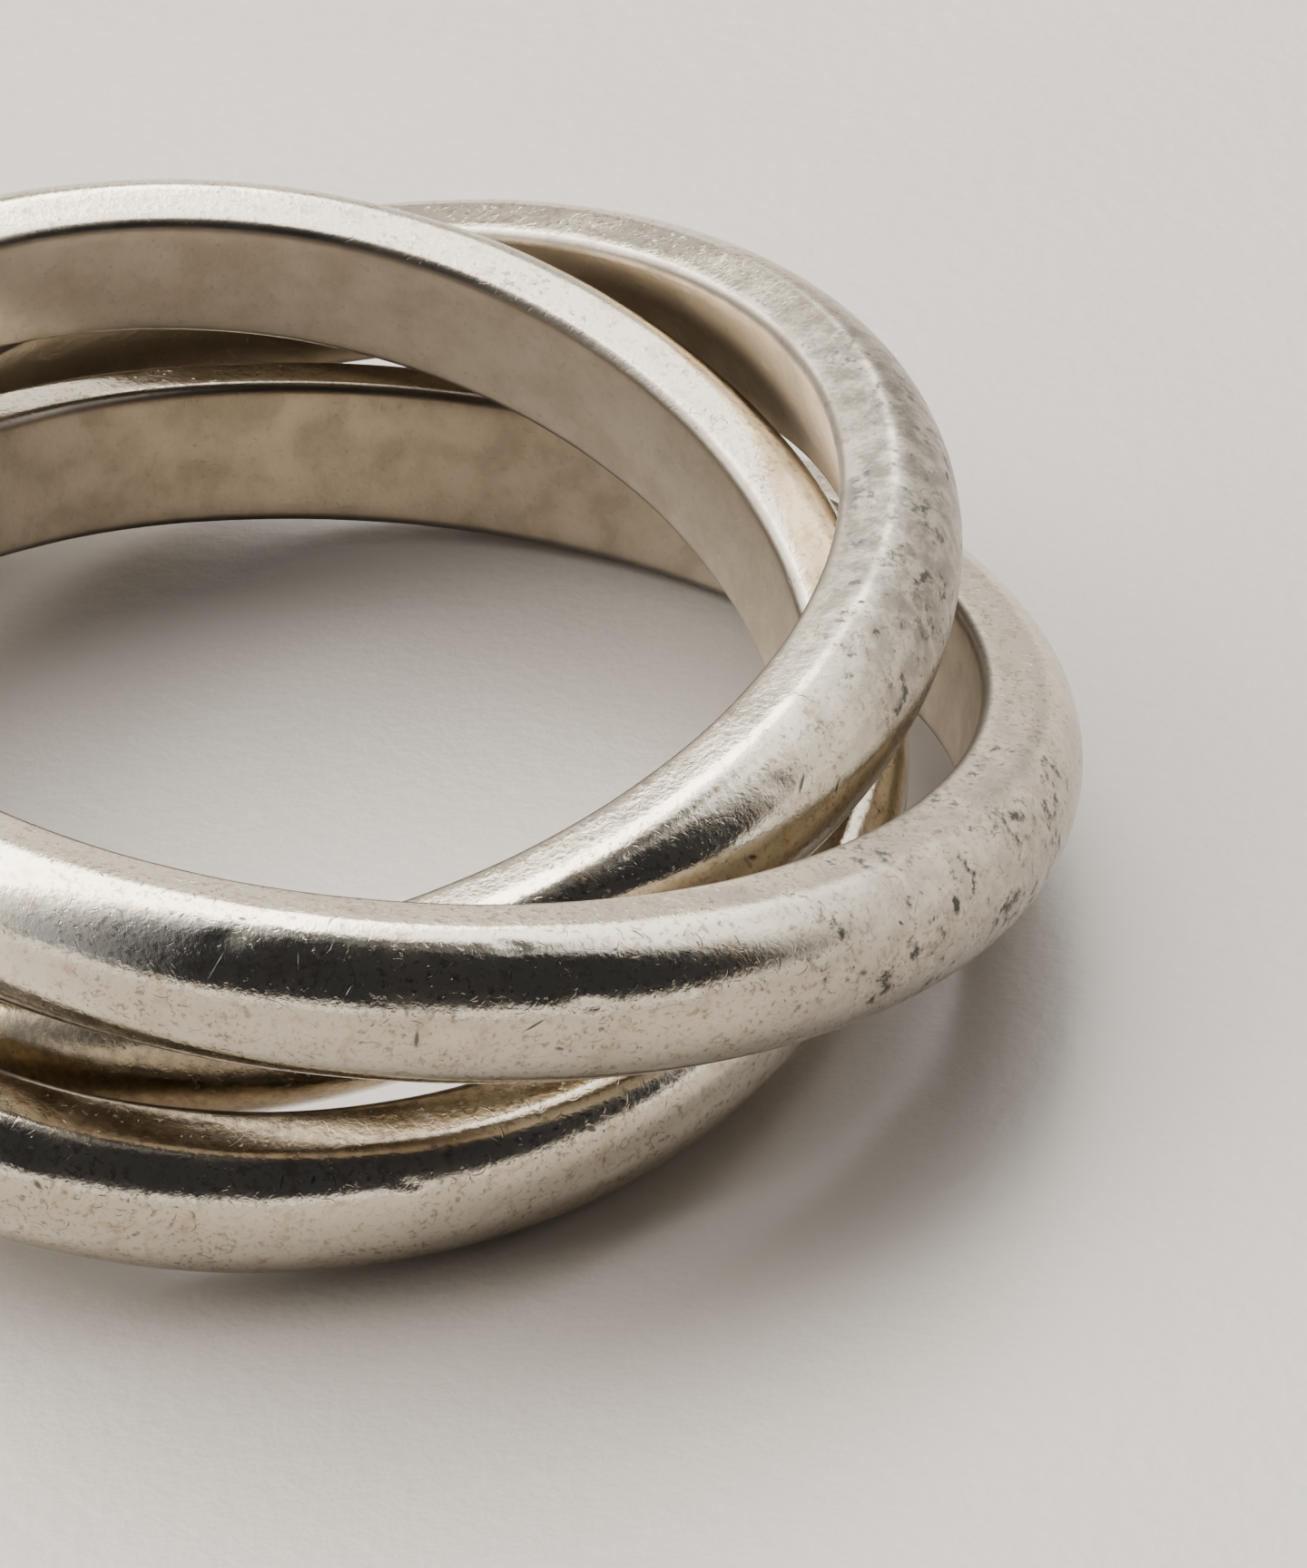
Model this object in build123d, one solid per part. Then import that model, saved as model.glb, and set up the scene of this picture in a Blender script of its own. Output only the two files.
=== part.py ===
"""Rolling ring: three equal D-profile finger bands linked through one another, lying loose on a flat surface.

Millimetres, +Z up, the surface at Z = 0, the viewer on the -Y side with +X to the right.
Each band is one solid of revolution.  It is tilted about a level line and moved sideways, so that each
band crosses over one neighbour and under the other, as linked bands come to rest.
"""

from build123d import *

import os
from math import asin, cos, degrees, radians, sin

# Sizes of one band.  The three bands are alike.
INNER_DIAMETER = 18.0  # finger hole, flat inner wall to flat inner wall
BAND_WIDTH = 2.5  # along the band's own axis
BAND_THICKNESS = 1.7  # inner wall to the crown of the dome
LIP_RADIUS = 0.2  # worn rounding where the inner wall meets each side
DOME_DEPTH = 0.9  # how far the dome stands out beyond the flat sides
DOME_FULLNESS = 1.9  # exponent of the dome curve: 2 is an ellipse, less has leaner shoulders
DOME_STEPS = 8  # spans of the dome curve from a side to the crown

# Room left between two bands where they cross.
LINK_CLEARANCE = 0.1

# How each band lies.  Directions are degrees from +X towards +Y.
# high_side, rise_share: where the band stands highest, and the climb of its middle line from its
# centre to there as a share of the width to clear.
# shift_side, shift_share: which way its centre moves, and how far as a share of the thickness to clear.
LIE = {
    "band_front": dict(high_side=-117.5, rise_share=0.81, shift_side=-20.0, shift_share=0.845),
    "band_right": dict(high_side=0.5, rise_share=0.78, shift_side=101.5, shift_share=0.685),
    "band_back": dict(high_side=123.5, rise_share=0.865, shift_side=210.0, shift_share=0.765),
}

INNER_RADIUS = INNER_DIAMETER / 2
HALF_WIDTH = BAND_WIDTH / 2
MIDDLE_RADIUS = INNER_RADIUS + BAND_THICKNESS / 2
SHOULDER_RADIUS = INNER_RADIUS + BAND_THICKNESS - DOME_DEPTH


def dome_point(turn):
    """The dome's point at an angle of the section: 0 at the crown, 90 at the upper side, -90 at the lower."""
    outward = cos(radians(turn)) ** (2 / DOME_FULLNESS)
    sideways = abs(sin(radians(turn))) ** (2 / DOME_FULLNESS)
    side = 1 if turn > 0 else -1
    return (SHOULDER_RADIUS + DOME_DEPTH * outward, 0, side * HALF_WIDTH * sideways)


def band_section():
    """The D: a flat inner wall, a small round lip and a flat side at each edge, and one smooth dome."""
    step = 90 / DOME_STEPS
    low = (SHOULDER_RADIUS, 0, -HALF_WIDTH)
    high = (SHOULDER_RADIUS, 0, HALF_WIDTH)
    between = [dome_point(step * i) for i in range(1 - DOME_STEPS, DOME_STEPS)]
    dome = Spline(low, *between, high, tangents=[(1, 0, 0), (-1, 0, 0)])
    upper_side = Line(high, (INNER_RADIUS + LIP_RADIUS, 0, HALF_WIDTH))
    lower_side = Line((INNER_RADIUS + LIP_RADIUS, 0, -HALF_WIDTH), low)
    wall = Line((INNER_RADIUS, 0, HALF_WIDTH - LIP_RADIUS), (INNER_RADIUS, 0, LIP_RADIUS - HALF_WIDTH))
    inset = LIP_RADIUS * (1 - cos(radians(45)))
    upper_lip = ThreePointArc(upper_side @ 1, (INNER_RADIUS + inset, 0, HALF_WIDTH - inset), wall @ 0)
    lower_lip = ThreePointArc(wall @ 1, (INNER_RADIUS + inset, 0, inset - HALF_WIDTH), lower_side @ 0)
    return make_face([dome, upper_side, upper_lip, wall, lower_lip, lower_side])


def lay(band, high_side, rise_share, shift_side, shift_share):
    """Tilt a level band up towards its high side, move it sideways and set it down on the surface."""
    climb = rise_share * (BAND_WIDTH + LINK_CLEARANCE)
    tilt = degrees(asin(climb / MIDDLE_RADIUS))
    level_line = Axis((0, 0, 0), (sin(radians(high_side)), -cos(radians(high_side)), 0))
    tilted = band.rotate(level_line, tilt)
    away = shift_share * (BAND_THICKNESS + LINK_CLEARANCE)
    lowest = tilted.bounding_box().min.Z
    return tilted.moved(Location((away * cos(radians(shift_side)), away * sin(radians(shift_side)), -lowest)))


level_band = revolve(band_section(), Axis.Z, 360)
laid = {name: lay(level_band, **how) for name, how in LIE.items()}

# The origin is on the surface, under the middle of the box round all three bands.
boxes = [band.bounding_box() for band in laid.values()]
middle_x = (min(box.min.X for box in boxes) + max(box.max.X for box in boxes)) / 2
middle_y = (min(box.min.Y for box in boxes) + max(box.max.Y for box in boxes)) / 2

os.makedirs("parts", exist_ok=True)
for name, band in laid.items():
    export_step(band.moved(Location((-middle_x, -middle_y, 0))), f"parts/{name}.step")
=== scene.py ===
"""Rolling ring: three worn silver bands linked through one another, on a pale paper floor."""

from math import atan2, cos, hypot, pi, radians, sin

import bpy
from mathutils import Matrix, Vector


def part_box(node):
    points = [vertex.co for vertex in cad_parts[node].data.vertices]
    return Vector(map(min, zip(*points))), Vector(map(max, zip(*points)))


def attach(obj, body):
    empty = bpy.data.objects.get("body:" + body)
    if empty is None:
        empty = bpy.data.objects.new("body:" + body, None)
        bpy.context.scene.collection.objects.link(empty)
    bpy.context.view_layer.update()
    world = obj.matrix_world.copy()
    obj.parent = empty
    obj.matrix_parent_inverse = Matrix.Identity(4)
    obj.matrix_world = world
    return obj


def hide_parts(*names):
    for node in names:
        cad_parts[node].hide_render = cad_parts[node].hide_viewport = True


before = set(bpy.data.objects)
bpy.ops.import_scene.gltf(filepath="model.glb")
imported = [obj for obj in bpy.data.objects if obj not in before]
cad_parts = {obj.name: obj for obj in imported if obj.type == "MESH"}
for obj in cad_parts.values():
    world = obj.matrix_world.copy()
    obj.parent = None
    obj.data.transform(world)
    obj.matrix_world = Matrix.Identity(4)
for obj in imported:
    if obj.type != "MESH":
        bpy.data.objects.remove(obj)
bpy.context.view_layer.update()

MM = 0.001

# Section of a band in millimetres, as in the part's source.
INNER_RADIUS = 9.0
BAND_WIDTH = 2.5
BAND_THICKNESS = 1.7
LIP_RADIUS = 0.2
DOME_DEPTH = 0.9
SHOULDER_RADIUS = INNER_RADIUS + BAND_THICKNESS - DOME_DEPTH

# How finely a band is meshed.
DOME_PROFILE = 0.4821  # bevel profile whose curve has the exponent 1.9
LIP_PROFILE = 0.5  # bevel profile whose curve is an arc
DOME_SPANS = 24
LIP_SPANS = 5
SIDE_CUTS = 3
WALL_CUTS = 9
TURNS = 720
JOINED = 0.0005  # corners of the section nearer than this are one
NEAR = 0.001  # a corner this near the wall is on it, and corners this near at the seam are one

# Tilt of each band in degrees and the side on which it stands highest, as in the part's source.
LIE = {
    "band_front": (12.346, -117.5),
    "band_right": (11.882, 0.5),
    "band_back": (13.198, 123.5),
}
BODY_OF = {"band_front": "front_band", "band_right": "right_band", "band_back": "back_band"}

# Unevenness of a worn band in millimetres: its size and its greatest depth.
WEAR_SIZE = 2.6
WEAR_DEPTH = 0.022

# Where the first band's patterns start, and how much further on each next band's do.
FIRST_SHIFT = 3
SHIFT_STEP = 13

# A band's own map: where the way round the section turns, as a share of the thickness, and the lengths
# in millimetres round the band and round its section.
SECTION_MIDDLE = 0.55
MAP_LENGTHS = (66, 7.4, 1)

# How far from an inner edge the painted shade reaches, in millimetres, and where the inner wall's brown ends
# on the lips, as a share of their radius.
EDGE_SHADE_REACH = 0.28
BROWN_END = 1.15

# Fine marks: cells to a millimetre, greatest half length and half width in cells, and the pattern's start.
MARKS = {
    "hairs": (1.2, 0.85, 0.015, 0),
    "ticks": (3.4, 0.60, 0.050, 5),
    "chips": (5.2, 0.34, 0.11, 11),
}

# Noise in the metal: how fine, octaves and roughness.
NOISES = {
    "blotch": (1.1, 4.0, 0.6),
    "warm": (2.6, 3.0, 0.6),
    "speck": (9.0, 3.0, 0.6),
    "grain": (4.6, 5.0, 0.68),
}

# The clearest single marks on each band: both ends in millimetres and half the width.
CUTS = {
    "band_front": [
        ((2.01, -11.35, 5.33), (1.98, -11.38, 5.00), 0.050),
        ((3.43, -11.20, 5.10), (3.85, -11.05, 5.30), 0.024),
        ((-0.70, -10.74, 6.28), (-0.95, -10.95, 5.92), 0.020),
        ((0.33, -10.79, 6.32), (0.33, -11.01, 6.09), 0.028),
        ((0.76, -10.45, 6.47), (0.81, -10.26, 6.48), 0.026),
        ((-0.52, -10.39, 6.53), (-0.36, -10.32, 6.55), 0.038),
        ((1.02, -11.21, 5.81), (1.11, -11.13, 5.95), 0.026),
        ((3.96, -11.11, 4.76), (4.06, -11.08, 4.72), 0.050),
        ((2.62, -11.23, 4.40), (2.80, -11.11, 4.17), 0.028),
        ((9.10, -7.92, 4.55), (9.21, -7.45, 4.79), 0.018),
        ((8.33, -8.87, 4.30), (8.40, -8.81, 4.25), 0.065),
    ],
    "band_right": [
        ((6.74, -6.95, 4.93), (6.84, -6.85, 4.85), 0.060),
        ((8.07, -5.42, 5.13), (8.04, -5.51, 4.99), 0.045),
        ((7.55, -5.75, 5.56), (7.47, -6.01, 5.35), 0.040),
        ((9.05, -2.70, 6.07), (9.09, -2.90, 6.02), 0.045),
    ],
    "band_back": [
        ((-3.53, -11.29, 2.52), (-3.45, -11.31, 2.42), 0.060),
        ((-0.03, -11.27, 2.30), (0.02, -11.10, 2.50), 0.026),
        ((0.42, -11.15, 2.33), (0.46, -11.08, 2.42), 0.040),
        ((4.36, -9.62, 2.04), (4.48, -9.56, 2.02), 0.060),
    ],
}

# Soft dents, which only bend the reflections.
DENTS = {
    "band_front": [
        ((3.10, -10.49, 6.15), (3.50, -10.45, 6.13), 0.22),
        ((-0.85, -10.60, 6.38), (-0.45, -10.62, 6.38), 0.26),
        ((4.23, -10.89, 5.36), (4.63, -10.80, 5.28), 0.20),
    ],
    "band_right": [((7.0, -6.2, 5.6), (7.3, -6.0, 5.6), 0.25)],
    "band_back": [((1.6, -10.95, 2.1), (2.0, -10.85, 2.1), 0.22)],
}

# The clearest dark patches of pits on each band.
PATCHES = {
    "band_front": [
        ((9.70, -7.16, 4.41), (9.84, -7.30, 4.10), 0.13),
        ((8.88, -8.16, 4.59), (8.98, -8.06, 4.59), 0.07),
    ],
    "band_right": [
        ((9.12, -3.50, 5.45), (9.02, -3.85, 5.30), 0.20),
        ((8.30, -2.11, 6.37), (8.44, -2.15, 6.37), 0.12),
        ((9.40, -1.70, 6.12), (9.50, -1.50, 6.07), 0.13),
        ((8.43, -2.63, 6.38), (8.50, -2.60, 6.37), 0.07),
        ((8.60, 0.50, 6.43), (8.66, 0.74, 6.43), 0.10),
        ((9.87, 1.05, 5.95), (9.90, 1.35, 5.95), 0.12),
        ((8.25, -1.3, 6.40), (8.35, 1.2, 6.45), 0.26),
    ],
    "band_back": [((-9.2, 6.0, 5.0), (-9.0, 6.3, 5.0), 0.15)],
}

# The dull, pitted end of each band: its middle and its reach in millimetres, and its tone.
WORN_END = {
    "band_front": ((10.2, -6.2, 4.0), 6.5, (0.42, 0.38, 0.32, 1)),
    "band_right": ((9.6, 1.0, 6.0), 8.5, (0.17, 0.157, 0.135, 1)),
    "band_back": ((-9.0, 6.0, 5.0), 3.5, (0.42, 0.38, 0.32, 1)),
}
FULLY_WORN = 0.3  # share of the reach within which the end is dull all over

# Brown tarnish and painted shade where the bands shelter one another: both ends of each stretch and half its
# width.
SHELTER_TARNISH_AND_SHADE = {
    "band_front": [((-5.0, -9.4, 4.3), (4.5, -10.6, 3.7), 0.7)],
    "band_right": [
        ((-7.5, -7.4, 2.4), (2.5, -10.2, 3.9), 1.6),
        ((4.0, -8.7, 3.3), (9.2, -3.9, 4.2), 0.65),
    ],
    "band_back": [
        ((-8.0, -8.0, 4.2), (-1.0, -10.8, 2.8), 0.85),
        ((-4.0, -10.5, 3.2), (3.0, -10.2, 2.5), 0.85),
        ((0.5, -10.7, 2.6), (7.5, -5.5, 2.8), 0.85),
    ],
}

# Nearly black tarnish and painted shade in the narrowest places between the bands.
GAP_TARNISH_AND_SHADE = {
    "band_front": [((-1.2, 9.4, 2.9), (5.0, 8.1, 2.6), 0.75)],
    "band_right": [
        ((-8.0, 7.4, 3.0), (2.0, 11.0, 2.3), 1.6),
        ((3.2, 9.6, 4.75), (8.6, 4.2, 4.3), 0.9),
    ],
    "band_back": [((-8.0, -7.9, 3.9), (1.5, -10.2, 2.5), 0.35)],
}

# Share of a lens, from its middle, over which it has its full strength.
CUT_CORE = 0.3
SHELTER_SHADE_CORE = 0.5
GAP_SHADE_CORE = 0.4

# The two browns of each band's inner wall.
WALL_TONES = {
    "band_front": ((0.52, 0.45, 0.35, 1), (0.40, 0.345, 0.265, 1)),
    "band_right": ((0.68, 0.59, 0.48, 1), (0.56, 0.48, 0.38, 1)),
    "band_back": ((0.66, 0.575, 0.455, 1), (0.54, 0.465, 0.36, 1)),
}

# Colours of the metal, its marks, its tarnish and the painted shade between the bands and along the inner
# edges.
CLEAN_SILVER = (0.725, 0.67, 0.555, 1)
CLOUDED_SILVER = (0.60, 0.535, 0.42, 1)
WARM_SILVER = (0.50, 0.37, 0.25, 1)
FLECK = (0.30, 0.25, 0.20, 1)
SCRATCH = (0.17, 0.14, 0.115, 1)
CUT = (0.12, 0.10, 0.085, 1)
PIT = (0.075, 0.075, 0.07, 1)
# These three browns and blacks are tarnish together with painted shade between the bands.
LIGHT_TARNISH_AND_SHADE = (0.40, 0.325, 0.215, 1)
BROWN_TARNISH_AND_SHADE = (0.23, 0.185, 0.13, 1)
BLACK_TARNISH_AND_SHADE = (0.10, 0.078, 0.055, 1)
# Painted shade along the inner edges of the lips.
EDGE_SHADE = (0.10, 0.09, 0.08, 1)

# The sheet of paper: its side in metres, how far it lies under the ring in millimetres, and its colours.
PAPER_SIDE = 4
PAPER_DROP = 0.004
PAPER_TONES = ((0.27, 0.245, 0.22, 1), (0.29, 0.263, 0.237, 1))
PAPER_FLECK = (0.22, 0.20, 0.175, 1)

# Soft patches of the studio in degrees: azimuth (0 is the viewer's side, 90 the right), elevation, and how
# far the patch is full and where it ends.
HIGH_GLOW = (168, 50, 12, 28)
PANEL = (-150, 0, 76, 84)
PANEL_NOTCH = (-165, 23, 11, 17)
DIM_CORNER = (162, 14, 8, 20)
OPENING = ((30, 0, 84, 100), (-13, 0, 82, 104))
CEILING_HOLES = ((85, 78, 5, 18), (0, 88, 7, 15))
HOLE_SHARE = 0.95  # how dark the holes in the ceiling are, as a share of the opening

# Stretches of the studio's walls in degrees: azimuth, and how far the stretch is full and where it ends.
PANEL_WALL = (-130, 54, 61)
DARKEST_WALL = (-90, 20, 62)

# Heights in degrees between which the studio changes.
WALLS_TO_CEILING = (15, 70)
PANEL_EDGE = (20, 29)
OPENING_EDGE = (2, 10)

# Light of the studio, and the plain grey that the camera itself sees.
WALL_LIGHT = (1.6, 1.48, 1.36, 1)
CEILING_LIGHT = (2.9, 2.8, 2.7, 1)
GLOW_LIGHT = (3.6, 3.45, 3.3, 1)
PANEL_LIGHT = (9.0, 8.6, 8.0, 1)
NOTCH_LIGHT = (0.80, 0.74, 0.68, 1)
CORNER_LIGHT = (0.98, 0.90, 0.83, 1)
OPENING_LIGHTS = ((0.042, 0.042, 0.046, 1), (0.66, 0.68, 0.74, 1))
SEEN_GREY = (0.64, 0.62, 0.60, 1)

# The lamp on the left: its place and width in metres, its power in watts and its colour.
LAMP_PLACE = (-0.31, -0.01, 0.14)
LAMP_WIDTH = 0.36
LAMP_POWER = 3.9
LAMP_COLOUR = (1.0, 0.97, 0.93)

# The photograph's camera, fitted to the outlines of the bands: degrees above the floor, degrees of roll,
# place in millimetres, and lens and sensor in millimetres.
CAMERA_RISE = 37.38
CAMERA_ROLL = -0.37
CAMERA_PLACE = (5.35, -93.97, 72.77)
CAMERA_LENS = 174.0
CAMERA_SENSOR = 36


def select_only(obj):
    bpy.ops.object.select_all(action="DESELECT")
    obj.select_set(True)
    bpy.context.view_layer.objects.active = obj


def select_corners(obj, chosen):
    """Leaves only the vertices selected for which chosen(place) is true, in edit mode."""
    bpy.ops.mesh.select_all(action="DESELECT")
    bpy.ops.object.mode_set(mode="OBJECT")
    for vertex in obj.data.vertices:
        vertex.select = chosen(vertex.co)
    for edge in obj.data.edges:
        edge.select = all(obj.data.vertices[i].select for i in edge.vertices)
    bpy.ops.object.mode_set(mode="EDIT")


def round_corners(radius, spans, profile):
    """Bevels the selected corners of the section and merges what meets."""
    bpy.ops.mesh.bevel(
        offset=radius, segments=spans, profile=profile, affect="VERTICES", clamp_overlap=False
    )
    bpy.ops.mesh.select_all(action="SELECT")
    bpy.ops.mesh.remove_doubles(threshold=JOINED)


def band_section():
    """The D of a band as a closed line of edges, in millimetres, beside the band's upright axis."""
    bpy.ops.object.select_all(action="DESELECT")
    bpy.ops.mesh.primitive_plane_add(size=1, location=(0, 0, 0))
    obj = bpy.context.object
    bpy.ops.object.mode_set(mode="EDIT")
    bpy.ops.mesh.select_mode(type="VERT")
    bpy.ops.mesh.select_all(action="SELECT")
    bpy.ops.transform.rotate(value=pi / 2, orient_axis="X", center_override=(0, 0, 0))
    bpy.ops.transform.resize(value=(BAND_THICKNESS, 1, 2 * DOME_DEPTH), center_override=(0, 0, 0))
    bpy.ops.transform.translate(value=(INNER_RADIUS + BAND_THICKNESS / 2, 0, 0))
    select_corners(obj, lambda place: place.x > SHOULDER_RADIUS)
    round_corners(DOME_DEPTH, DOME_SPANS, DOME_PROFILE)
    bpy.ops.transform.resize(value=(1, 1, BAND_WIDTH / (2 * DOME_DEPTH)), center_override=(0, 0, 0))
    select_corners(obj, lambda place: place.x < INNER_RADIUS + NEAR)
    round_corners(LIP_RADIUS, LIP_SPANS, LIP_PROFILE)
    bpy.ops.mesh.delete(type="ONLY_FACE")
    select_corners(obj, lambda place: place.x < INNER_RADIUS + NEAR)
    bpy.ops.mesh.subdivide(number_cuts=WALL_CUTS)
    shoulder, side_height = SHOULDER_RADIUS + JOINED, BAND_WIDTH / 2 - JOINED
    for side in (-1, 1):
        select_corners(obj, lambda place: place.z * side > side_height and place.x < shoulder)
        bpy.ops.mesh.subdivide(number_cuts=SIDE_CUTS)
    bpy.ops.object.mode_set(mode="OBJECT")
    return obj


def spin_band(obj):
    """Turns the section once round the band's axis and closes the seam."""
    select_only(obj)
    bpy.ops.object.mode_set(mode="EDIT")
    bpy.ops.mesh.select_all(action="SELECT")
    bpy.ops.mesh.spin(steps=TURNS, angle=2 * pi, center=(0, 0, 0), axis=(0, 0, 1))
    bpy.ops.mesh.select_all(action="SELECT")
    bpy.ops.mesh.remove_doubles(threshold=NEAR)
    bpy.ops.mesh.normals_make_consistent(inside=False)
    bpy.ops.object.mode_set(mode="OBJECT")


def place_on_band(place):
    """How far round the band, and how far round its section from the inner wall's middle, both 0 to 1."""
    turn = atan2(place.y, place.x) / (2 * pi) + 0.5
    out = hypot(place.x, place.y) - INNER_RADIUS
    return turn, atan2(place.z, out - SECTION_MIDDLE * BAND_THICKNESS) / (2 * pi) + 0.5


def map_band(mesh):
    """Gives the band its own map, round it and across it, without a jump inside any face."""
    spots = [place_on_band(vertex.co) for vertex in mesh.vertices]
    corners = [0] * len(mesh.loops)
    mesh.loops.foreach_get("vertex_index", corners)
    flat = []
    for face in mesh.polygons:
        own = [spots[corners[i]] for i in face.loop_indices]
        far, wide = max(turn for turn, across in own), max(across for turn, across in own)
        for turn, across in own:
            flat += [turn + (far - turn > 0.5), across + (wide - across > 0.5)]
    mesh.uv_layers.new(name="round_band").data.foreach_set("uv", flat)


def mark_band(mesh):
    """Marks the band's inner wall, fading out over the lips, and the strip along its inner edges that gets
    painted shade.
    """
    walls, edge_shades = [], []
    for vertex in mesh.vertices:
        out = hypot(vertex.co.x, vertex.co.y) - INNER_RADIUS
        from_edge = hypot(out, abs(vertex.co.z) - BAND_WIDTH / 2)
        walls.append(min(max(BROWN_END - out / LIP_RADIUS, 0), 1))
        # Share of painted shade along the inner edges, from 1 at an edge to 0 at its reach.
        edge_shades.append(min(max(1 - from_edge / EDGE_SHADE_REACH, 0), 1))
    mesh.attributes.new("wall", "FLOAT", "POINT").data.foreach_set("value", walls)
    mesh.attributes.new("edge_shade", "FLOAT", "POINT").data.foreach_set("value", edge_shades)


def wear_band(obj, start):
    """Makes the band slightly uneven with a soft procedural texture, inwards only."""
    texture = bpy.data.textures.new(obj.name + "_wear", "CLOUDS")
    texture.noise_scale = WEAR_SIZE
    texture.noise_depth = 1
    push = obj.modifiers.new("wear", "DISPLACE")
    push.texture = texture
    push.texture_coords = "GLOBAL"
    push.strength = WEAR_DEPTH
    push.mid_level = 1.0
    obj.location = (0, 0, start)
    select_only(obj)
    bpy.ops.object.modifier_apply(modifier=push.name)
    obj.location = (0, 0, 0)


def lay_band(obj, node):
    """Tilts the level band up to its high side and sets it where its solid lies."""
    tilt, high_side = LIE[node]
    level_line = Vector((sin(radians(high_side)), -cos(radians(high_side)), 0))
    low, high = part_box(node)
    obj.matrix_world = (
        Matrix.Translation((Vector(low) + Vector(high)) / 2)
        @ Matrix.Rotation(radians(tilt), 4, level_line)
        @ Matrix.Scale(MM, 4)
    )
    select_only(obj)
    bpy.ops.object.transform_apply(location=True, rotation=True, scale=True)


class Finish:
    """A node tree with short ways to add to it."""

    def __init__(self, tree):
        self.tree = tree

    def add(self, kind, **settings):
        node = self.tree.nodes.new(kind)
        for key, value in settings.items():
            setattr(node, key, value)
        return node

    def feed(self, socket, value):
        if isinstance(value, bpy.types.NodeSocket):
            self.tree.links.new(value, socket)
        else:
            socket.default_value = value

    def math(self, operation, a, b=0.0):
        node = self.add("ShaderNodeMath", operation=operation)
        self.feed(node.inputs[0], a)
        self.feed(node.inputs[1], b)
        return node.outputs[0]

    def fade(self, value, start, end, low=0.0, high=1.0):
        node = self.add("ShaderNodeMapRange", interpolation_type="SMOOTHSTEP")
        for i, item in enumerate((value, start, end, low, high)):
            self.feed(node.inputs[i], item)
        return node.outputs[0]

    def blend(self, share, first, second):
        node = self.add("ShaderNodeMix", data_type="RGBA")
        self.feed(node.inputs[0], share)
        self.feed(node.inputs[6], first)
        self.feed(node.inputs[7], second)
        return node.outputs[2]

    def spread(self, vector, scale, shift=(0, 0, 0)):
        node = self.add("ShaderNodeMapping")
        self.feed(node.inputs["Vector"], vector)
        node.inputs["Scale"].default_value = scale
        node.inputs["Location"].default_value = shift
        return node.outputs[0]

    def noise(self, vector, scale, detail=2.0, roughness=0.5):
        node = self.add("ShaderNodeTexNoise")
        self.feed(node.inputs["Vector"], vector)
        self.feed(node.inputs["Scale"], scale)
        self.feed(node.inputs["Detail"], detail)
        self.feed(node.inputs["Roughness"], roughness)
        return node.outputs["Fac"]

    def attribute(self, name):
        return self.add("ShaderNodeAttribute", attribute_name=name).outputs["Fac"]

    def bump(self, height, distance):
        node = self.add("ShaderNodeBump")
        self.feed(node.inputs["Strength"], 1.0)
        self.feed(node.inputs["Distance"], distance)
        self.feed(node.inputs["Height"], height)
        return node.outputs[0]


def new_finish(name):
    """A new material, its finish and its shader."""
    material = bpy.data.materials.new(name)
    material.use_nodes = True
    return material, Finish(material.node_tree), material.node_tree.nodes["Principled BSDF"]


def fine_marks(finish, flat, kind, shift):
    """Short, slightly bent marks, one to a cell of a cell pattern, at every angle and of every strength."""
    density, half_length, half_width, start = MARKS[kind]
    start += shift
    spread = finish.spread(flat, (density, density, 1), (start, 2.3 * start, 0))
    cells = finish.add("ShaderNodeTexVoronoi", voronoi_dimensions="2D")
    finish.feed(cells.inputs["Vector"], spread)
    cells.inputs["Scale"].default_value = 1
    away = finish.add("ShaderNodeVectorMath", operation="SUBTRACT")
    finish.feed(away.inputs[0], spread)
    finish.feed(away.inputs[1], cells.outputs["Position"])
    dice = finish.add("ShaderNodeSeparateColor")
    finish.feed(dice.inputs[0], cells.outputs["Color"])
    turned = finish.add("ShaderNodeVectorRotate", rotation_type="Z_AXIS")
    finish.feed(turned.inputs["Vector"], away.outputs[0])
    finish.feed(turned.inputs["Angle"], finish.math("MULTIPLY", dice.outputs[0], pi))
    parts = finish.add("ShaderNodeSeparateXYZ")
    finish.feed(parts.inputs[0], turned.outputs[0])
    along = finish.math("ABSOLUTE", parts.outputs[0])
    bend = finish.math("MULTIPLY", along, finish.math("MULTIPLY", along, dice.outputs[1]))
    aside = finish.math("ABSOLUTE", finish.math("ADD", parts.outputs[1], bend))
    reach = finish.math("MULTIPLY", dice.outputs[1], half_length)
    thin = finish.fade(aside, half_width, half_width * 0.2)
    short = finish.fade(along, reach, finish.math("MULTIPLY", reach, 0.4))
    strength = finish.math("POWER", finish.fade(dice.outputs[2], 1.0, 0.0), 1.3)
    return finish.math("MULTIPLY", finish.math("MULTIPLY", thin, short), strength)


def lens_marks(finish, place, lenses, core=0.0):
    """1 inside each long lens between two ends on the band, fading from its core to 0 at its edge."""
    nearest = None
    for start, end, half_width in lenses:
        start, end = Vector(start) * MM, Vector(end) * MM
        lens = finish.add("ShaderNodeMapping", vector_type="TEXTURE")
        finish.feed(lens.inputs["Vector"], place)
        lens.inputs["Location"].default_value = (start + end) / 2
        lens.inputs["Rotation"].default_value = (end - start).to_track_quat("X", "Z").to_euler()
        half_length = (end - start).length / 2 + half_width * MM
        lens.inputs["Scale"].default_value = (half_length, half_width * MM, half_width * MM)
        away = finish.add("ShaderNodeVectorMath", operation="LENGTH")
        finish.feed(away.inputs[0], lens.outputs[0])
        share = away.outputs["Value"]
        nearest = share if nearest is None else finish.math("MINIMUM", nearest, share)
    return finish.fade(nearest, 1.0, core)


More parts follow.
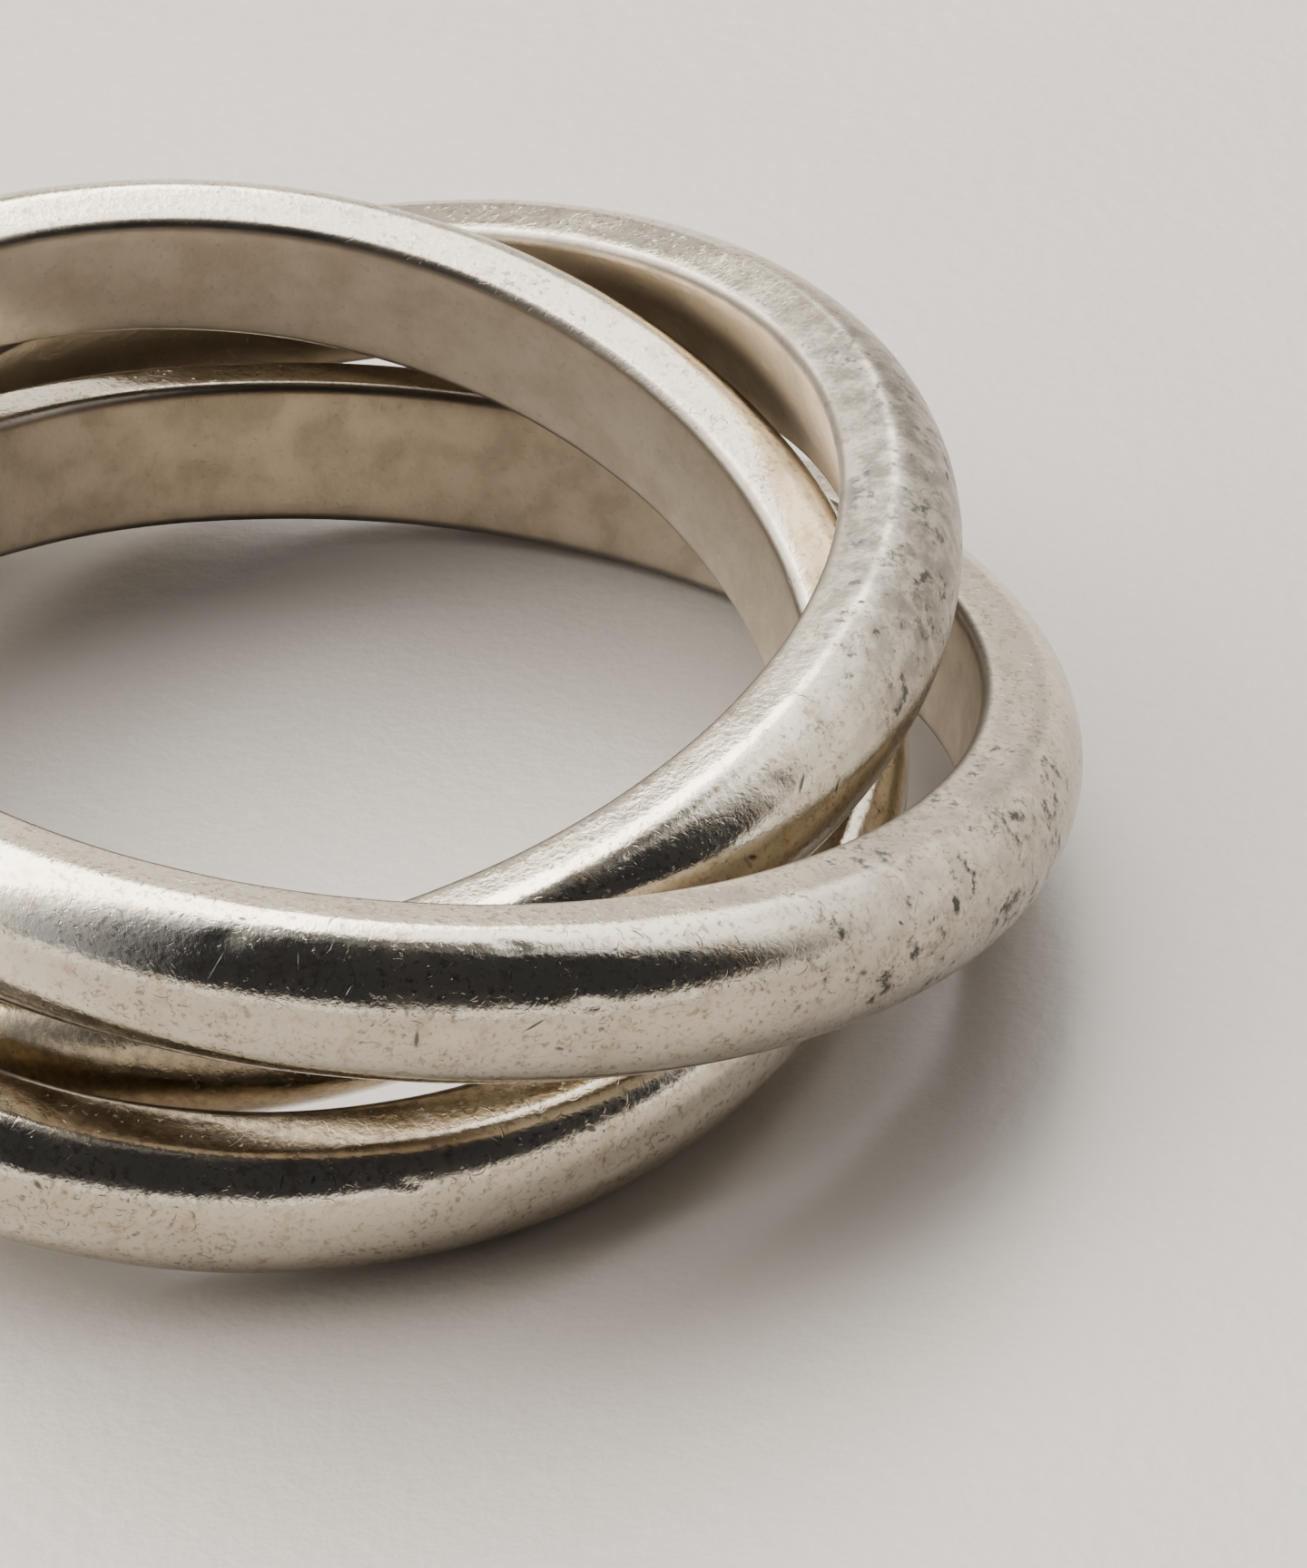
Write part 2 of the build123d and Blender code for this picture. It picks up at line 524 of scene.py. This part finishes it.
def worn_share(finish, node, place):
    """1 at the band's dull end, fading to 0 away from it."""
    end, reach, _ = WORN_END[node]
    away = finish.add("ShaderNodeVectorMath", operation="DISTANCE")
    finish.feed(away.inputs[0], place)
    away.inputs[1].default_value = Vector(end) * MM
    return finish.fade(away.outputs["Value"], reach * MM, FULLY_WORN * reach * MM)


def wear_layers(finish, node, shift):
    """How much there is of each kind of wear, and of painted shade, at each place on the band, from 0 to 1.
    """
    place = finish.add("ShaderNodeTexCoord").outputs["Object"]
    in_mm = finish.spread(place, (1000, 1000, 1000), (shift, shift, shift))
    around = finish.add("ShaderNodeUVMap", uv_map="round_band").outputs[0]
    flat = finish.spread(around, MAP_LENGTHS)

    wear = {name: finish.noise(in_mm, *how) for name, how in NOISES.items()}
    wear["wall"] = finish.attribute("wall")
    # Painted shade along the inner edges.
    wear["edge_shade"] = finish.attribute("edge_shade")
    wear["worn"] = worn_share(finish, node, place)

    crowd = finish.math("ADD", wear["blotch"], finish.math("MULTIPLY", wear["worn"], 0.09))
    crowd = finish.fade(crowd, 0.40, 0.62, 0.4, 1.0)
    hairs = finish.math("MULTIPLY", fine_marks(finish, flat, "hairs", shift), 0.5)
    ticks = finish.math("MULTIPLY", fine_marks(finish, flat, "ticks", shift), crowd)
    chips = finish.math("MULTIPLY", fine_marks(finish, flat, "chips", shift), crowd)
    cuts = lens_marks(finish, place, CUTS[node], CUT_CORE)
    wear["hairs"], wear["ticks"] = hairs, ticks
    wear["lines"] = finish.math("MAXIMUM", hairs, ticks)
    wear["deep"] = finish.math("MAXIMUM", finish.math("MULTIPLY", chips, 0.7), cuts)
    wear["flecks"] = finish.math("MULTIPLY", finish.fade(wear["speck"], 0.53, 0.66, 0, 0.85), crowd)

    patches = finish.math("MULTIPLY", lens_marks(finish, place, PATCHES[node]), 0.26)
    ragged = finish.math("ADD", wear["grain"], patches)
    crowded = finish.math("MULTIPLY", wear["worn"], finish.fade(wear["blotch"], 0.35, 0.65, 0.03, 0.17))
    wear["pits"] = finish.fade(finish.math("ADD", ragged, crowded), 0.61, 0.80)

    wear["dents"] = lens_marks(finish, place, DENTS[node])
    # Brown tarnish and painted shade where the bands shelter one another, nearly black in the narrowest gaps.
    wear["tarnish_and_shade"] = lens_marks(finish, place, SHELTER_TARNISH_AND_SHADE[node], SHELTER_SHADE_CORE)
    wear["black"] = lens_marks(finish, place, GAP_TARNISH_AND_SHADE[node], GAP_SHADE_CORE)
    return wear


def outer_colour(finish, node, wear):
    """Silver, clouded, warm and dull in places, under its flecks, scratches, cuts and pits."""
    clouded = finish.fade(wear["blotch"], 0.40, 0.70, 0, 0.6)
    colour = finish.blend(clouded, CLEAN_SILVER, CLOUDED_SILVER)
    colour = finish.blend(finish.fade(wear["warm"], 0.54, 0.72, 0, 0.6), colour, WARM_SILVER)
    mottled = finish.math("MULTIPLY", wear["worn"], finish.fade(wear["warm"], 0.38, 0.60, 0.60, 0.95))
    colour = finish.blend(mottled, colour, WORN_END[node][2])
    colour = finish.blend(wear["flecks"], colour, FLECK)
    colour = finish.blend(finish.math("MULTIPLY", wear["lines"], 0.95), colour, SCRATCH)
    colour = finish.blend(finish.math("MULTIPLY", wear["deep"], 0.9), colour, CUT)
    return finish.blend(wear["pits"], colour, PIT)


def inner_colour(finish, node, wear):
    """Two browns in soft clouds, with darker specks."""
    colour = finish.blend(finish.fade(wear["blotch"], 0.35, 0.7), *WALL_TONES[node])
    return finish.blend(finish.fade(wear["speck"], 0.58, 0.74, 0, 0.35), colour, FLECK)


def band_colour(finish, node, wear):
    """The outer and inner colours together, under the tarnish and painted shade between the bands and the
    painted shade along the inner edges.
    """
    colour = finish.blend(wear["wall"], outer_colour(finish, node, wear), inner_colour(finish, node, wear))
    brown_tarnish_and_shade = finish.blend(finish.fade(wear["grain"], 0.35, 0.65), LIGHT_TARNISH_AND_SHADE, BROWN_TARNISH_AND_SHADE)
    # Painted shade between the bands, together with tarnish: brown where they shelter one another, nearly
    # black in the narrowest gaps.
    colour = finish.blend(finish.math("MULTIPLY", wear["tarnish_and_shade"], 0.9), colour, brown_tarnish_and_shade)
    colour = finish.blend(finish.math("MULTIPLY", wear["black"], 0.85), colour, BLACK_TARNISH_AND_SHADE)
    # Painted shade darkens the strip along each inner edge.
    return finish.blend(finish.fade(wear["edge_shade"], 0.15, 0.70, 0, 0.85), colour, EDGE_SHADE)


def worn_silver(node, shift):
    """Polished silver gone soft with wear: scratches, nicks, dents, pits, tarnish and painted shade, brown
    inside.
    """
    material, finish, shader = new_finish("worn_silver_" + node)
    wear = wear_layers(finish, node, shift)

    rough = finish.fade(wear["blotch"], 0.36, 0.66, 0.10, 0.18)
    added_roughness = {"worn": 0.14, "deep": 0.15, "pits": 0.2, "wall": 0.25, "tarnish_and_shade": 0.08}
    for layer, share in added_roughness.items():
        rough = finish.math("ADD", rough, finish.math("MULTIPLY", wear[layer], share))

    height = finish.math("MULTIPLY", wear["speck"], 5.0)
    depths = {"blotch": -9.0, "hairs": 1.6, "ticks": 2.6, "deep": 4.0, "pits": 4.0, "dents": 12.0}
    for layer, depth in depths.items():
        height = finish.math("SUBTRACT", height, finish.math("MULTIPLY", wear[layer], depth))
    height = finish.math("MULTIPLY", height, finish.fade(wear["worn"], 0.0, 1.0, 1.0, 0.35))

    shader.inputs["Metallic"].default_value = 1.0
    finish.feed(shader.inputs["Base Color"], band_colour(finish, node, wear))
    finish.feed(shader.inputs["Roughness"], rough)
    finish.feed(shader.inputs["Normal"], finish.bump(height, 0.001 * MM))
    return material


def dress_band(obj, node, shift):
    """Wears, lays and finishes one copy of the band, in the place of its solid."""
    obj.name = node + "_worn"
    obj.data.name = obj.name
    wear_band(obj, shift)
    select_only(obj)
    bpy.ops.object.shade_smooth()
    lay_band(obj, node)
    obj.data.materials.append(worn_silver(node, shift))
    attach(obj, BODY_OF[node])
    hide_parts(node)


def make_bands():
    """One level band is modelled, and the three bands are copies of it."""
    level = band_section()
    spin_band(level)
    map_band(level.data)
    mark_band(level.data)
    for number, node in enumerate(LIE):
        select_only(level)
        bpy.ops.object.duplicate()
        dress_band(bpy.context.object, node, FIRST_SHIFT + SHIFT_STEP * number)
    select_only(level)
    bpy.ops.object.delete()


def paper_floor():
    """A pale warm sheet of paper with a faint grain, under the ring."""
    bpy.ops.object.select_all(action="DESELECT")
    bpy.ops.mesh.primitive_plane_add(size=PAPER_SIDE, location=(0, 0, -PAPER_DROP * MM))
    floor = bpy.context.object
    floor.name = "paper_floor"
    material, finish, shader = new_finish("pale_paper")
    place = finish.add("ShaderNodeTexCoord").outputs["Object"]
    grain = finish.noise(place, 2600, 3.0, 0.6)
    cloud = finish.noise(place, 90, 2.0)
    tone = finish.blend(finish.fade(cloud, 0.3, 0.7), *PAPER_TONES)
    fleck = finish.fade(grain, 0.62, 0.75, 0, 0.10)
    finish.feed(shader.inputs["Base Color"], finish.blend(fleck, tone, PAPER_FLECK))
    shader.inputs["Roughness"].default_value = 0.5
    shader.inputs["IOR"].default_value = 1.75
    shader.inputs["Specular IOR Level"].default_value = 1.0
    finish.feed(shader.inputs["Normal"], finish.bump(grain, 0.02 * MM))
    floor.data.materials.append(material)


def lamp_on_the_left():
    """A large round lamp that faces the ring and isn't mirrored: the bands mirror the studio instead."""
    turn = Vector(LAMP_PLACE).to_track_quat("Z", "Y").to_euler()
    bpy.ops.object.light_add(type="AREA", location=LAMP_PLACE, rotation=turn)
    lamp = bpy.context.object
    lamp.name = "lamp_left"
    lamp.data.shape = "DISK"
    lamp.data.size = LAMP_WIDTH
    lamp.data.energy = LAMP_POWER
    lamp.data.color = LAMP_COLOUR
    lamp.visible_glossy = False


def studio():
    """Soft studio light: bright walls with a dark opening round the camera."""
    world = bpy.data.worlds.new("soft_studio")
    bpy.context.scene.world = world
    world.use_nodes = True
    world.node_tree.nodes.clear()
    finish = Finish(world.node_tree)
    way = finish.add("ShaderNodeTexCoord").outputs["Generated"]
    parts = finish.add("ShaderNodeSeparateXYZ")
    finish.feed(parts.inputs[0], way)
    up = parts.outputs[2]
    level = finish.add("ShaderNodeVectorMath", operation="NORMALIZE")
    finish.feed(level.inputs[0], finish.spread(way, (1, 1, 0)))

    def patch(vector, azimuth, elevation, full, end):
        """1 within full degrees of a direction, fading to 0 at end degrees from it."""
        a, e = radians(azimuth), radians(elevation)
        towards = finish.add("ShaderNodeVectorMath", operation="DOT_PRODUCT")
        finish.feed(towards.inputs[0], vector)
        towards.inputs[1].default_value = (sin(a) * cos(e), -cos(a) * cos(e), sin(e))
        return finish.fade(towards.outputs["Value"], cos(radians(end)), cos(radians(full)))

    def wall(azimuth, full, end):
        return patch(level.outputs[0], azimuth, 0, full, end)

    def above(low, high):
        return finish.fade(up, sin(radians(low)), sin(radians(high)))

    light = finish.blend(above(*WALLS_TO_CEILING), WALL_LIGHT, CEILING_LIGHT)
    light = finish.blend(patch(way, *HIGH_GLOW), light, GLOW_LIGHT)
    panel = finish.math("MULTIPLY", patch(way, *PANEL), wall(*PANEL_WALL))
    light = finish.blend(finish.math("MULTIPLY", panel, above(*PANEL_EDGE)), light, PANEL_LIGHT)
    light = finish.blend(patch(way, *PANEL_NOTCH), light, NOTCH_LIGHT)
    light = finish.blend(patch(way, *DIM_CORNER), light, CORNER_LIGHT)

    dark = finish.blend(wall(*DARKEST_WALL), *OPENING_LIGHTS)
    opening = finish.math("MULTIPLY", *(patch(way, *side) for side in OPENING))
    opening = finish.math("MULTIPLY", opening, above(*OPENING_EDGE))
    for hole in CEILING_HOLES:
        dim = finish.math("MULTIPLY", patch(way, *hole), HOLE_SHARE)
        opening = finish.math("MAXIMUM", opening, dim)
    light = finish.blend(opening, light, dark)

    camera_ray = finish.add("ShaderNodeLightPath").outputs["Is Camera Ray"]
    sky = finish.add("ShaderNodeBackground")
    finish.feed(sky.inputs["Color"], finish.blend(camera_ray, light, SEEN_GREY))
    finish.feed(finish.add("ShaderNodeOutputWorld").inputs["Surface"], sky.outputs[0])


def photo_camera():
    """The camera of the photograph, with a long lens, close to the ring."""
    stand = Matrix.Rotation(radians(90 - CAMERA_RISE), 3, "X") @ Matrix.Rotation(radians(CAMERA_ROLL), 3, "Z")
    bpy.ops.object.camera_add(location=Vector(CAMERA_PLACE) * MM, rotation=stand.to_euler())
    camera = bpy.context.object
    camera.name = "photo_camera"
    camera.data.sensor_width = CAMERA_SENSOR
    camera.data.lens = CAMERA_LENS
    camera.data.clip_start = 0.01
    camera.data.clip_end = 10
    bpy.context.scene.camera = camera


photo_camera()
paper_floor()
studio()
lamp_on_the_left()
make_bands()
